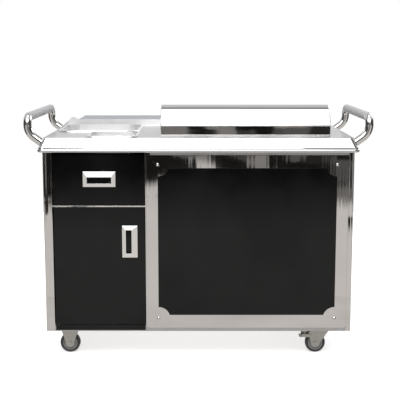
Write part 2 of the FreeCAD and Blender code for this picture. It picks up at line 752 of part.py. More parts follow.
def sink():
    x = ("sink_left - sheet", "sink_right + sheet")
    y = ("front + sink_near - sheet", "front + sink_far + sheet")
    z = ("top - sink_deep", "top")
    bowl = basin("sink_form", x, y, z, size("sink_corner") + 1.5, "sheet", 20,
                 ("rim_wide", "rim_rise"))
    middle_x = "(sink_left + sink_right) / 2"
    middle_y = "front + (sink_near + sink_far) / 2"
    rear_rim = block("rear_rim_cut", ("sink_left - 30", "sink_right + 30"),
                     ("front + sink_far + sheet", "back"), ("top", "top + 20"))
    outlet = rod("sink_outlet", "z", (middle_x, middle_y, "top - sink_deep - 5"), 21, 15)
    piece(cut("sink_bowl", bowl, rear_rim, outlet), "sink_bowl")

    floor = "top - sink_deep + sheet"
    flange = rod("drain_flange", "z", (middle_x, middle_y, floor), 28, 1.5)
    barrel = rod("drain_barrel", "z", (middle_x, middle_y, f"{floor} - 40"), 20.5, 40)
    tail = rod("drain_tail", "z", (middle_x, middle_y, f"{floor} - 150"), 16, 115)
    nut = rod("drain_nut", "z", (middle_x, middle_y, f"{floor} - sheet - 9"), 28, 9)
    cup = rod("drain_cup", "z", (middle_x, middle_y, f"{floor} - 12"), 18, 20)
    bore = rod("drain_bore", "z", (middle_x, middle_y, f"{floor} - 151"), 14, 115)
    slots = [rod(f"drain_hole_{i}", "z",
                 (f"{middle_x} + 11 * cos({60 * i})", f"{middle_y} + 11 * sin({60 * i})",
                  f"{floor} - 60"), 2.5, 60) for i in range(6)]
    drain = fuse("drain_form", flange, barrel, tail, nut)
    piece(cut("sink_drain", drain, cup, bore, *slots), "sink_drain")


def prep_pan():
    pan = basin("prep_form", ("prep_left", "prep_right"),
                ("front + prep_near", "front + prep_far"),
                ("top - prep_deep", "top"), size("prep_corner"), "sheet", 14,
                ("rim_wide", "rim_rise"))
    piece(pan, "prep_pan")


def food_well():
    places = food_pan_places()
    for name, (x, y) in places.items():
        pan = basin(name, x, y, ("top - food_deep", "top"), size("food_corner"), "sheet", 12,
                    ("food_flange", "sheet"))
        piece(pan, name)
    left_x, pan_y = places["food_pan_left"]
    right_x = places["food_pan_right"][0]
    liner = basin("well_form", (f"{left_x[0]} - well_wall", f"{right_x[1]} + well_wall"),
                  (f"{pan_y[0]} - well_wall", f"{pan_y[1]} + well_wall"),
                  ("top - sheet - well_deep", "top - sheet"), 15, "sheet", 10)
    piece(liner, "well_liner")


# ---------------------------------------------------------------- lid and its hinge

def well_surround():
    """Four upright walls around the well, which the lid closes on."""
    rise = ("top", "top + surround_rise")
    outside = rounded_block("surround_form", ("lid_left", "lid_right"),
                            ("front + surround_near", "front + surround_far"), rise,
                            size("lid_round"))
    space = block("surround_space", ("lid_left + sheet", "lid_right - sheet"),
                  ("front + surround_near + sheet", "front + surround_far - sheet"),
                  ("top - 1", "top + surround_rise + 1"))
    piece(cut("well_surround", outside, space), "well_surround")


def lid_profile(inward, floor):
    """The lid's cross-section: a bent front, a sloping flat, a bent rear and an upright.

    inward shrinks it by that much all round, floor is the height of its lower edge.
    """
    fall = math.radians(size("lid_slope"))
    across = Vector(0, math.sin(fall), math.cos(fall))
    along = Vector(0, math.cos(fall), -math.sin(fall))
    back = size("front") + size("lid_back")
    bend, rear_bend = size("lid_bend"), size("lid_rear_bend")
    front_middle = Vector(0, size("front") + size("lid_crest"), size("lid_high") - bend)
    start = front_middle + across * (bend - rear_bend)
    flat = (back - rear_bend - start.y) / along.y
    rear_middle = start + along * flat
    bend -= inward
    rear_bend -= inward

    drop = floor - front_middle.z
    lip = Vector(0, front_middle.y - math.sqrt(bend ** 2 - drop ** 2), floor)
    brow = front_middle + Vector(0, -bend, bend) * math.sqrt(0.5)
    shoulder = rear_middle + Vector(0, rear_bend, rear_bend) * math.sqrt(0.5)
    rear_top = rear_middle + Vector(0, rear_bend, 0)
    rear_foot = Vector(0, rear_top.y, floor)
    edges = [
        Part.Arc(lip, brow, front_middle + across * bend),
        Part.LineSegment(front_middle + across * bend, rear_middle + across * rear_bend),
        Part.Arc(rear_middle + across * rear_bend, shoulder, rear_top),
        Part.LineSegment(rear_top, rear_foot),
        Part.LineSegment(rear_foot, lip),
    ]
    return Part.Face(Part.Wire([edge.toShape() for edge in edges])), lip


def lid_cover():
    """One sheet bent over two flat ends, with a rolled lip in front."""
    floor = size("top") + size("surround_rise") + size("lid_lift")
    left, right, wall_thick = size("lid_left"), size("lid_right"), size("sheet")
    profile, lip = lid_profile(0, floor)
    outside = doc.addObject("Part::Feature", "lid_block")
    outside.Shape = profile.translated(Vector(left, 0, 0)).extrude(Vector(right - left, 0, 0))
    form = round_edges("lid_form", outside, size("lid_round"),
                       lambda edge: edge.BoundBox.XLength < 0.01
                       and edge.BoundBox.ZMax > floor + 1)
    profile = lid_profile(wall_thick, floor - 1)[0]
    inside = doc.addObject("Part::Feature", "lid_space")
    inside.Shape = profile.translated(Vector(left + wall_thick, 0, 0)).extrude(
        Vector(right - left - 2 * wall_thick, 0, 0))
    shell = cut("lid_shell", form, inside)
    roll = rod("lid_lip_roll", "x", ("lid_left + lid_lip", lip.y, f"{floor} + lid_lip"),
               "lid_lip", "lid_right - lid_left - 2 * lid_lip")
    piece(fuse("lid_cover", shell, roll), "lid_cover")


def lid_hinge():
    """A long hinge: fixed and moving knuckles take turns along one pin."""
    wall_y = "front + surround_far"
    pin_y = f"{wall_y} + hinge_out"
    pin_z = "top + surround_rise + hinge_up"
    count = 5
    first = "lid_left + hinge_in"
    last = "lid_right - hinge_in"
    step = f"(lid_right - lid_left - 2 * hinge_in) / {count}"
    low_z = f"{pin_z} - knuckle - 1"
    fixed_y = (wall_y, f"{wall_y} + sheet")
    moving_y = ("front + lid_back", "front + lid_back + sheet")
    fixed = [block("fixed_leaf", (first, last), fixed_y, (f"{low_z} - leaf_high", low_z))]
    moving = [block("moving_leaf", (first, last), moving_y,
                    ("top + surround_rise + lid_lift", f"{pin_z} + hinge_up"))]
    for i in range(count):
        start = f"{first} + {i} * {step} + hinge_gap"
        end = f"{first} + {i + 1} * {step} - hinge_gap"
        barrel = rod(f"knuckle_{i}", "x", (start, pin_y, pin_z), "knuckle",
                     f"{step} - 2 * hinge_gap")
        if i % 2 == 0:
            tab = block(f"fixed_tab_{i}", (start, end), fixed_y, (low_z, pin_z))
            fixed += [barrel, tab]
        else:
            web = block(f"moving_web_{i}", (start, end), (moving_y[0], pin_y),
                        (f"{pin_z} - sheet / 2", f"{pin_z} + sheet / 2"))
            moving += [barrel, web]
    fixed.append(rod("lid_pin", "x", (f"{first} - 2", pin_y, pin_z), "hinge_pin",
                     f"{last} - ({first}) + 4"))
    piece(fuse("lid_hinge_base", *fixed), "lid_hinge_base")
    bore = rod("hinge_bore", "x", (f"{first} - 10", pin_y, pin_z), "hinge_pin + running",
               f"{last} - ({first}) + 20")
    piece(cut("lid_hinge_leaf", fuse("moving_hinge", *moving), bore), "lid_hinge_leaf")


# ---------------------------------------------------------------- drawer and door

def pull(label, x, z, turn):
    """A pull: a raised frame with four sloping bands around a cup for the fingers.

    It is built around its own middle, then turned and moved to its place. The cup reaches
    behind the wide band and is closed at its rear by the drawer front or the door.
    """
    half_long = "pull_long / 2"
    half_wide = "pull_wide / 2"
    foot = (f"-{half_long}", half_long, f"-{half_wide}", half_wide)
    mouth = (f"-{half_long} + pull_end", f"{half_long} - pull_end",
             f"-{half_wide} + pull_low", f"{half_wide} - pull_thumb")
    brow = (f"{mouth[0]} - pull_rim", f"{mouth[1]} + pull_rim",
            f"{mouth[2]} - pull_rim", f"{mouth[3]} + pull_rim")
    behind = f"{mouth[3]} + pull_behind"
    plate = block(label + "_plate", foot[:2], ("-pull_edge", "0"), foot[2:])
    bands = taper(label + "_bands", brow, foot, ("-pull_rise", "-pull_edge"))
    hole = block(label + "_mouth", mouth[:2], ("-pull_rise - 1", "1"), mouth[2:])
    cup = block(label + "_cup", (f"{mouth[0]} - pull_wall", f"{mouth[1]} + pull_wall"),
                ("0", "pull_depth"), (f"{mouth[2]} - pull_wall", f"{behind} + pull_wall"))
    space = block(label + "_space", mouth[:2], ("0", "pull_depth + 1"), (mouth[2], behind))
    item = cut(label, fuse(label + "_body", plate, bands, cup), hole, space)
    item.Placement = Placement(Vector(), Rotation(Vector(0, 1, 0), turn))
    bind(item, {"Placement.Base.x": x, "Placement.Base.z": z,
                "Placement.Base.y": "front - skin - 0.01"})
    piece(item, label)


def leaf(label, z, pull_x, pull_z, pull_half):
    """A black front with a recess for its pull."""
    face = "front - skin"
    body = new_body(label)
    pad(body, label + "_slab", "XZ_Plane", rectangle(("leaf_left", "leaf_right"), z),
        face, f"{face} + leaf_thick")
    soften(body, label + "_edges", "sheet", at_depth(size("front") - size("skin")))
    pocket(body, label + "_recess",
           rectangle((f"{pull_x} - ({pull_half[0]})", f"{pull_x} + ({pull_half[0]})"),
                     (f"{pull_z} - ({pull_half[1]})", f"{pull_z} + ({pull_half[1]})")),
           face, "pull_depth + 1")
    return body


def drawer():
    leaf("drawer_front", ("drawer_low", "drawer_high"), "drawer_pull_x", "drawer_pull_z",
         ("pull_long / 2 - 12", "pull_wide / 2 - 8"))
    pull("drawer_pull", "drawer_pull_x", "drawer_pull_z", 0)
    front_y = "front - skin + leaf_thick"
    end_y = f"{front_y} + box_deep"
    box = basin("drawer_tray", ("box_left", "box_right"), (front_y, end_y),
                ("box_low", "box_high"), 3, "sheet", 1.2)
    piece(box, "drawer_box")

    runners = []
    slides = []
    runner_y = ("front + tube + 4", f"{end_y} - 6")
    slide_y = ("front + tube + 3", f"{end_y} + 6")
    z = ("runner_low", "runner_low + runner_rise")
    for side, face, way, anchor in (("left", "box_left", -1, "-half_length + skin"),
                                    ("right", "box_right", 1, "bay + tube / 2")):
        def across(near, far):
            pair = (f"{face} + ({way}) * ({near})", f"{face} + ({way}) * ({far})")
            return pair if way > 0 else pair[::-1]
        runners.append(block(f"runner_{side}", across("0", "runner_thick"), runner_y, z))
        web = "runner_thick + 1"
        back = block(f"slide_web_{side}", across(web, f"{web} + sheet"), slide_y,
                     (f"{z[0]} - 3", f"{z[1]} + 3"))
        lower = block(f"slide_lower_{side}", across("1", f"{web} + sheet"), slide_y,
                      (f"{z[0]} - 3", f"{z[0]} - 1"))
        upper = block(f"slide_upper_{side}", across("1", f"{web} + sheet"), slide_y,
                      (f"{z[1]} + 1", f"{z[1]} + 3"))
        arm = (f"{face} + ({way}) * ({web} + sheet)", anchor)
        arm = arm if way > 0 else arm[::-1]
        arms = [block(f"slide_arm_{side}_{i}", arm, (f"{slide_y[0]} + {start}",
                                                   f"{slide_y[0]} + {start} + 30"), z)
                for i, start in enumerate((15, 230))]
        slides.append(fuse(f"slide_{side}", back, lower, upper, *arms))
    piece(group("drawer_runners", *runners), "drawer_runners")
    piece(group("drawer_slides", *slides), "drawer_slides")


def door():
    body = leaf("door_panel", ("door_low", "door_high"), "door_pull_x", "door_pull_z",
                ("pull_wide / 2 - 8", "pull_long / 2 - 12"))
    pull("door_pull", "door_pull_x", "door_pull_z", 90)
    centre = ("leaf_left + pivot_in", "front + pivot_back")
    drill(body, "lower_pivot_hole", "XY_Plane", centre, "pivot_pin + running", "door_low", 18,
          reverse=True)
    drill(body, "upper_pivot_hole", "XY_Plane", centre, "pivot_pin + running", "door_high", 18)
    lower = rod("lower_pivot", "z", (*centre, "base + rail_rise"), "pivot_pin", 20)
    upper = rod("upper_pivot", "z", (*centre, "seam - 17"), "pivot_pin", 17)
    piece(group("door_pivot_pins", lower, upper), "door_pivot_pins")


# ---------------------------------------------------------------- handles

def handle_path(longer):
    """The middle line of the right handle, from its front foot to its rear foot.

    Each arm slopes up out of the countertop's edge, bends upright and turns into the bar.
    longer is how far the line runs on inside the countertop's edge.
    """
    bar_x, bar_z = size("grip_x"), size("grip_z")
    bend, turn = size("arm_bend"), size("grip_bend")
    slope = math.radians(size("arm_slope"))
    swing = math.pi / 2 - slope
    middle = (size("front") + size("back")) / 2
    half = size("handle_span") / 2
    knee_z = size("arm_corner") + bend * math.tan(swing / 2)
    foot_x = size("flat_half") - size("arm_reach") - longer

    def on_bend(angle):
        return bar_x - bend * (1 - math.cos(angle)), knee_z - bend * math.sin(angle)

    def arm(side):
        y = middle + side * half
        low_x, low_z = on_bend(swing)
        mid_x, mid_z = on_bend(swing / 2)
        foot = Vector(foot_x, y, low_z - (low_x - foot_x) * math.tan(slope))
        low = Vector(low_x, y, low_z)
        mid = Vector(mid_x, y, mid_z)
        knee = Vector(bar_x, y, knee_z)
        rise = Vector(bar_x, y, bar_z - turn)
        slack = turn * (1 - math.sqrt(0.5))
        bow = Vector(bar_x, y - side * slack, bar_z - slack)
        end = Vector(bar_x, y - side * turn, bar_z)
        return foot, low, mid, knee, rise, bow, end

    near = arm(-1)
    far = arm(1)
    edges = [
        Part.LineSegment(near[0], near[1]),
        Part.Arc(near[1], near[2], near[3]),
        Part.LineSegment(near[3], near[4]),
        Part.Arc(near[4], near[5], near[6]),
        Part.LineSegment(near[6], far[6]),
        Part.Arc(far[6], far[5], far[4]),
        Part.LineSegment(far[4], far[3]),
        Part.Arc(far[3], far[2], far[1]),
        Part.LineSegment(far[1], far[0]),
    ]
    return Part.Wire([edge.toShape() for edge in edges])


def pipe_along(path, radius):
    start = path.Edges[0].Vertexes[0].Point
    tangent = path.Edges[0].tangentAt(path.Edges[0].FirstParameter)
    ring = Part.Wire(Part.makeCircle(radius, start, tangent))
    return path.makePipeShell([ring], True, False)


def handles(form):
    wall_thick = size("sheet")
    radius = size("handle_tube")
    tube = doc.addObject("Part::Feature", "handle_tube")
    tube.Shape = pipe_along(handle_path(0), radius).cut(
        pipe_along(handle_path(2), radius - wall_thick))
    right = cut("right_handle", tube, form)
    piece(right, "right_handle")
    mirror = doc.addObject("Part::Mirroring", "left_handle")
    mirror.Source = right
    mirror.Normal = Vector(1, 0, 0)
    piece(mirror, "left_handle")
    grips = []
    for side, sign in (("right", "1"), ("left", "-1")):
        start = (f"{sign} * grip_x", "(front + back - grip_long) / 2", "grip_z")
        sleeve = rod(side + "_sleeve", "y", start, "grip_sleeve", "grip_long")
        sleeve = round_edges(side + "_sleeve_round", sleeve, 0.5,
                             lambda edge: edge.BoundBox.YLength < 1)
        bore = rod(side + "_sleeve_bore", "y", start, "handle_tube + 0.05", "grip_long")
        grips.append(cut(side + "_grip", sleeve, bore))
    piece(group("handle_grips", *grips), "handle_grips")


# ---------------------------------------------------------------- castors

def place(item, x, y):
    bind(item, {"Placement.Base.x": x, "Placement.Base.y": y})


def wheel_and_tyre(prefix, x, y):
    """Both are turned about the axle, which runs along Y at the wheel's middle."""
    for kind in ("wheel", "tyre"):
        body = new_body(f"{prefix}_{kind}")
        if kind == "wheel":
            turned(body, f"{prefix}_core", [
                ("axle + running", "-fork_gap + 0.8"), ("9", "-fork_gap + 0.8"),
                ("11", "-wheel_wide / 2 + 4"), ("core - 5", "-wheel_wide / 2 + 4"),
                ("core - 3", "-wheel_wide / 2 + 1"), ("core", "-wheel_wide / 2 + 1"),
                ("core", "wheel_wide / 2 - 1"), ("core - 3", "wheel_wide / 2 - 1"),
                ("core - 5", "wheel_wide / 2 - 4"), ("11", "wheel_wide / 2 - 4"),
                ("9", "fork_gap - 0.8"), ("axle + running", "fork_gap - 0.8")])
        else:
            turned(body, f"{prefix}_ring", [
                ("core", "-wheel_wide / 2"), ("wheel - 5", "-wheel_wide / 2"),
                ("wheel - 1", "-wheel_wide / 2 + 3"), ("wheel", "-wheel_wide / 2 + 7"),
                ("wheel", "wheel_wide / 2 - 7"), ("wheel - 1", "wheel_wide / 2 - 3"),
                ("wheel - 5", "wheel_wide / 2"), ("core", "wheel_wide / 2")])
        place(body, x, y)
        bind(body, {"Placement.Base.z": "wheel"})


def axle_bolt(name):
    length = "2 * fork_gap + 2 * fork_leg"
    start = "-fork_gap - fork_leg"
    shank = rod(name + "_shank", "y", ("0", start, "wheel"), "axle", length)
    head = rod(name + "_head", "y", ("0", f"{start} - 5", "wheel"), "axle + 3.5", 5)
    nut = rod(name + "_nut", "y", ("0", f"{start} + {length}", "wheel"), "axle + 3.5", 6)
    return fuse(name, shank, head, nut)


def fork_leg(name, side, points, foot_x):
    """One leg: a flat plate with a round foot about the axle."""
    near = "fork_gap" if side > 0 else "-fork_gap - fork_leg"
    far = "fork_gap + fork_leg" if side > 0 else "-fork_gap"
    body = doc.addObject("PartDesign::Body", name)
    pad(body, name + "_plate", "XZ_Plane", points, near, far)
    foot = rod(name + "_foot", "y", (foot_x, near, "wheel"), "fork_foot", "fork_leg")
    leg = fuse(name + "_solid", body, foot)
    hole = rod(name + "_hole", "y", (foot_x, f"{near} - 1", "wheel"), "axle + running",
               "fork_leg + 2")
    return cut(name + "_drilled", leg, hole)


def top_plate(name):
    plate = block(name + "_sheet", ("-plate_long / 2", "plate_long / 2"),
                  ("-plate_wide / 2", "plate_wide / 2"), ("base - plate_thick", "base"))
    plate = round_edges(name + "_round", plate, 8, upright)
    holes = [rod(f"{name}_hole_{i}", "z", (f"{sx} * bolt_x", f"{sy} * bolt_y", "base - 10"),
                 "bolt + 0.3", 20)
             for i, (sx, sy) in enumerate(((1, 1), (1, -1), (-1, 1), (-1, -1)))]
    return cut(name, plate, *holes)


def rigid_castor(row, y):
    prefix = f"{row}_left"
    points = [("-37", "base - plate_thick"), ("-15", "wheel - 4"), ("15", "wheel - 4"),
              ("37", "base - plate_thick")]
    parts = [top_plate(prefix + "_castor_plate")]
    for side in (-1, 1):
        parts.append(fork_leg(f"{prefix}_leg_{'near' if side < 0 else 'far'}", side, points, "0"))
    fork = fuse(prefix + "_castor_fork", *parts)
    place(fork, "castor_x_left", y)
    piece(fork, prefix + "_castor_fork")
    wheel_and_tyre(prefix, "castor_x_left", y)


def swivel_castor(row, y):
    prefix = f"{row}_right"
    x = "castor_x_right"
    plate = top_plate(prefix + "_plate_sheet")
    race = rod(prefix + "_race", "z", ("0", "0", "base - 10"), 26, 8)
    kingpin = rod(prefix + "_kingpin", "z", ("0", "0", "base - 22"), 6, 20)
    button = rod(prefix + "_kingpin_head", "z", ("0", "0", "base - 24"), 10, 3.7)
    upper = fuse(prefix + "_castor_plate", plate, race, kingpin, button)
    place(upper, x, y)
    piece(upper, prefix + "_castor_plate")

    head = block(prefix + "_fork_head", ("-34", "26"),
                 ("-fork_gap - fork_leg", "fork_gap + fork_leg"), ("base - 20", "base - 10.3"))
    bore = rod(prefix + "_fork_bore", "z", ("0", "0", "base - 40"), "6 + running", 40)
    head = cut(prefix + "_fork_bored", head, bore)
    points = [("-52", "wheel + 34"), ("-trail - 16", "wheel - 4"),
              ("-trail + 15", "wheel - 4"), ("26", "base - 18"), ("26", "base - 10.3"),
              ("-34", "base - 10.3"), ("-52", "wheel + 44")]
    legs = []
    for side in (-1, 1):
        name = f"{prefix}_leg_{'near' if side < 0 else 'far'}"
        leg = fork_leg(name, side, points, "-trail")
        start = "fork_gap - 1" if side > 0 else "-fork_gap - fork_leg - 1"
        hole = rod(name + "_brake_hole", "y", ("-44", start, "wheel + 33"), "3 + running",
                   "fork_leg + 2")
        legs.append(cut(name + "_ready", leg, hole))
    fork = fuse(prefix + "_castor_fork", head, *legs)
    place(fork, x, y)
    piece(fork, prefix + "_castor_fork")

    bolt = axle_bolt(prefix + "_castor_axle")
    bind(bolt, {"Placement.Base.x": f"{x} - trail", "Placement.Base.y": y})
    piece(bolt, prefix + "_castor_axle")
    wheel_and_tyre(prefix, f"{x} - trail", y)
    brake(prefix, x, y)


def brake(prefix, x, y):
    """A tread plate with two ears that turn on rivets in the fork's legs."""
    outer = "fork_gap + fork_leg + 2.3"
    tread = block(prefix + "_tread", ("-90", "-66"), (f"-({outer})", outer),
                  ("wheel + 25", "wheel + 27.5"))
    tread = round_edges(prefix + "_tread_round", tread, 6, lambda edge: upright(edge)
                        and edge.Vertexes[0].X < -80)
    parts = [tread]
    for side in (-1, 1):
        tag = "near" if side < 0 else "far"
        ear_y = ("fork_gap + fork_leg + 0.3", outer)
        ear_y = ear_y if side > 0 else (f"-({outer})", "-fork_gap - fork_leg - 0.3")
        parts.append(block(f"{prefix}_ear_{tag}", ("-80", "-38"), ear_y,
                           ("wheel + 25", "wheel + 37")))
        start = "fork_gap + 0.2" if side > 0 else f"-({outer}) - 1.5"
        parts.append(rod(f"{prefix}_rivet_{tag}", "y", ("-44", start, "wheel + 33"), 3,
                         f"{outer} + 1.5 - fork_gap - 0.2"))
    item = fuse(prefix + "_castor_brake", *parts)
    place(item, x, y)
    piece(item, prefix + "_castor_brake")


def castors():
    rows = {"front": "front + castor_in", "rear": "back - castor_in"}
    bolts = []
    axles = []
    for row, y in rows.items():
        rigid_castor(row, y)
        swivel_castor(row, y)
        axle = axle_bolt(f"{row}_rigid_axle")
        bind(axle, {"Placement.Base.x": "castor_x_left", "Placement.Base.y": y})
        axles.append(axle)
        for side, x in (("left", "castor_x_left"), ("right", "castor_x_right")):
            for i, (sx, sy) in enumerate(((1, 1), (1, -1), (-1, 1), (-1, -1))):
                spot = (f"{x} + {sx} * bolt_x", f"{y} + {sy} * bolt_y")
                name = f"{row}_{side}_bolt_{i}"
                shank = rod(name + "_shank", "z", (*spot, "base - plate_thick - 3"), "bolt", 16)
                head = rod(name + "_head", "z", (*spot, "base - plate_thick - 5"), "bolt + 2.5", 5)
                nut = rod(name + "_nut", "z", (*spot, "base + pad_rise"), "bolt + 2.5", 5)
                bolts.append(fuse(name, shank, head, nut))
    piece(group("rigid_castor_axles", *axles), "rigid_castor_axles")
    piece(group("castor_bolts", *bolts), "castor_bolts")


# ---------------------------------------------------------------- the whole cart

def check_and_write():
    doc.recompute()
    problems = []
    for item in doc.Objects:
        if "Invalid" in item.State or "Error" in item.State:
            problems.append(f"{item.Label}: {item.State}")
    for item in pieces:
        shape = item.Shape
        if shape.isNull() or not shape.isValid() or not shape.Solids:
            problems.append(f"{item.Label}: no sound shape")
    if problems:
        raise RuntimeError("; ".join(problems))
    os.makedirs("parts", exist_ok=True)
    for item in pieces:
        item.Shape.exportStep(f"parts/{item.Label}.step")
    print(len(pieces), "pieces written")


def main():
    fill_sheet()
    base_frame()
    posts()
    bay_post()
    top_frame()
    walls()
    front_panel()
    front_inset()
    panel_screws()
    form = counter_outside()
    countertop(form)
    splash_guard()
    rear_shelf()
    shelf_brackets()
    sink()
    prep_pan()
    food_well()
    well_surround()
    lid_cover()
    lid_hinge()
    drawer()
    door()
    handles(form)
    castors()
    check_and_write()


main()
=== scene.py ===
"""Looks for the push vending cart: materials, softened edges, camera, floor and studio light.

Metres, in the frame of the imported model: +X right, -Y front, +Z up, floor at zero.
"""
import json
import math

import bpy
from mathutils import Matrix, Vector

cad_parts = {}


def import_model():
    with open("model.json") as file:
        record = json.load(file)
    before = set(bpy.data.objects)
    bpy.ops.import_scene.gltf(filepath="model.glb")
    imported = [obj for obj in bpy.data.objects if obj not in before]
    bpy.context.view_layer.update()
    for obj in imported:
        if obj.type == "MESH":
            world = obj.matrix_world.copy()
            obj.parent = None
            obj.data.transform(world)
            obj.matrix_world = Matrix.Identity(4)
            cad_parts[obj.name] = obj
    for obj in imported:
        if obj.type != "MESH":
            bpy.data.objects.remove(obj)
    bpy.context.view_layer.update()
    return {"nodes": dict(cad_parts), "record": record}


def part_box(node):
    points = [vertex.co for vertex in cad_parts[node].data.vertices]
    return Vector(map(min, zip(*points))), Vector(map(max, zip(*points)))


CAMERA_AHEAD = 3.651        # from the cabinet's front posts to the lens
CAMERA_HEIGHT = 1.201
CAMERA_RIGHT = 0.006
CAMERA_DOWN = 8.86          # degrees below the horizon
LENS_MM = 86

FLOOR_RADIUS = 2.4
FLOOR_BACK = 0.9            # how far behind the cart's middle the floor's middle lies
FLOOR_TONES = (0.6, 0.92)   # how light the metal mirrors it
WARM = (1.0, 0.955, 0.915)
COOL = (0.985, 0.985, 1.0)

# what the metal mirrors: (degrees above the horizon, brightness), from straight down upwards
LAMPS = [(-90, 0.65), (-20, 0.8), (18, 0.8), (23, 1.2), (27, 2.0)]
WINGS = [(-90, 0.65), (-20, 0.78), (-3, 0.7), (4, 0.10), (38, 0.12), (60, 0.7)]
REAR_WALL = [(-90, 0.65), (-20, 0.78), (12, 0.84), (53, 0.72), (57, 0.2), (64, 0.2), (68, 2.0)]
# the share of the dark room in front, and of the dark screens at both ends, by elevation
ROOM_BAND = [(-90, 0.0), (-7.2, 0.0), (-7.0, 1.0), (19, 1.0), (23, 0.0)]
SCREEN_BAND = [(-35, 0.0), (-28, 1.0), (24, 1.0), (32, 0.0)]
SCREEN_TONE = (0.07, 0.07, 0.07)
ROOM_COLUMNS, ROOM_ROWS = 52, 70        # upright shapes across and up the dark room

# ---------------------------------------------------------------- node helpers


def start_material(name, colour, metallic=0.0, roughness=0.5, **values):
    """A material with one Principled shader, and that shader."""
    material = bpy.data.materials.new(name)
    material.use_nodes = True
    shader = material.node_tree.nodes["Principled BSDF"]
    shader.inputs["Base Color"].default_value = (*colour, 1)
    shader.inputs["Metallic"].default_value = metallic
    shader.inputs["Roughness"].default_value = roughness
    for socket, value in values.items():
        shader.inputs[socket.replace("_", " ")].default_value = value
    return material, shader


def add(tree, kind, operation=None, **values):
    """A node of that kind, with its input sockets set by name."""
    node = tree.nodes.new("ShaderNode" + kind)
    if operation:
        node.operation = operation
    for socket, value in values.items():
        node.inputs[socket.replace("_", " ")].default_value = value
    return node


def noise(tree, scale, detail=3.0, stretch=(1, 1, 1), roughness=0.5):
    """Noise in the object's own coordinates, in metres; stretch squeezes it along each axis."""
    place = add(tree, "TexCoord")
    mapping = add(tree, "Mapping", Scale=[scale * s for s in stretch])
    texture = add(tree, "TexNoise", Scale=1.0, Detail=detail, Roughness=roughness)
    tree.links.new(place.outputs["Object"], mapping.inputs["Vector"])
    tree.links.new(mapping.outputs["Vector"], texture.inputs["Vector"])
    return texture.outputs["Fac"]


def spread(tree, value, low, high, start=0.3, end=0.7):
    """The value's range start..end spread over low..high."""
    node = add(tree, "MapRange")
    node.inputs["From Min"].default_value = start
    node.inputs["From Max"].default_value = end
    node.inputs["To Min"].default_value = low
    node.inputs["To Max"].default_value = high
    tree.links.new(value, node.inputs["Value"])
    return node.outputs["Result"]


def two_colours(tree, value, first, second):
    """A colour that runs from first to second with the value."""
    node = add(tree, "ValToRGB")
    node.color_ramp.elements[0].color = (*first, 1)
    node.color_ramp.elements[1].color = (*second, 1)
    tree.links.new(value, node.inputs["Fac"])
    return node.outputs["Color"]


def total(tree, first, second):
    """The sum of two values."""
    node = add(tree, "Math", "ADD")
    tree.links.new(first, node.inputs[0])
    tree.links.new(second, node.inputs[1])
    return node.outputs[0]


def bump(tree, shader, height, depth, before=None):
    """Height from 0 to 1 becomes relief of that depth in metres."""
    node = add(tree, "Bump", Strength=1.0, Distance=depth)
    tree.links.new(height, node.inputs["Height"])
    if before is not None:
        tree.links.new(before, node.inputs["Normal"])
    tree.links.new(node.outputs["Normal"], shader.inputs["Normal"])
    return node.outputs["Normal"]


# ---------------------------------------------------------------- materials

GRAINS = {"x": (0.02, 1, 1), "y": (1, 0.02, 1), "z": (1, 1, 0.02)}
PAINTED_FLOOR_REFLECTION_HEIGHTS = (0.50, 0.74)     # metres above the floor over which the painted reflection of the floor on the black panels fades, from full to none


def polished_steel(grain, sway):
    """Mirror polished stainless sheet: buffing lines, wiped smudges and a slightly uneven surface.

    sway is the height in metres of the shallow folds that rolling leaves along the grain.
    """
    material, shader = start_material("polished_steel_" + grain, (0.62, 0.61, 0.60),
                                      metallic=1.0, roughness=0.1)
    tree = material.node_tree
    lines = noise(tree, 900, 2, GRAINS[grain])
    smudges = noise(tree, 9, 5)
    colour = two_colours(tree, smudges, (0.59, 0.58, 0.57), (0.66, 0.65, 0.64))
    tree.links.new(colour, shader.inputs["Base Color"])
    rough = total(tree, spread(tree, smudges, 0.008, 0.03), spread(tree, lines, 0.0, 0.012))
    tree.links.new(rough, shader.inputs["Roughness"])
    waves = bump(tree, shader, noise(tree, 5, 1), 0.0003)
    folds = bump(tree, shader, noise(tree, 34, 2, GRAINS[grain]), sway, waves)
    bump(tree, shader, lines, 0.000003, folds)
    return material


def counter_steel():
    """The countertop's sheet: brushed on the flat, polished on the sloping edge and the bead."""
    material, shader = start_material("counter_steel", (0.66, 0.655, 0.65), metallic=1.0, roughness=0.3)
    tree = material.node_tree
    lines = noise(tree, 700, 3, GRAINS["x"], 0.7)
    marks = noise(tree, 11, 6)
    colour = two_colours(tree, marks, (0.60, 0.597, 0.595), (0.68, 0.677, 0.675))
    tree.links.new(colour, shader.inputs["Base Color"])
    place = add(tree, "TexCoord")
    facing = add(tree, "SeparateXYZ")
    tree.links.new(place.outputs["Normal"], facing.inputs[0])
    flat = spread(tree, facing.outputs["Z"], 0.0, 1.0, 0.90, 0.97)
    brushed = total(tree, spread(tree, marks, 0.24, 0.34), spread(tree, lines, 0.0, 0.12))
    rough = add(tree, "Mix")
    tree.links.new(flat, rough.inputs[0])
    tree.links.new(spread(tree, marks, 0.02, 0.05), rough.inputs[2])
    tree.links.new(brushed, rough.inputs[3])
    tree.links.new(rough.outputs[0], shader.inputs["Roughness"])
    waves = bump(tree, shader, noise(tree, 4, 1), 0.0003)
    bump(tree, shader, lines, 0.00002, waves)
    return material


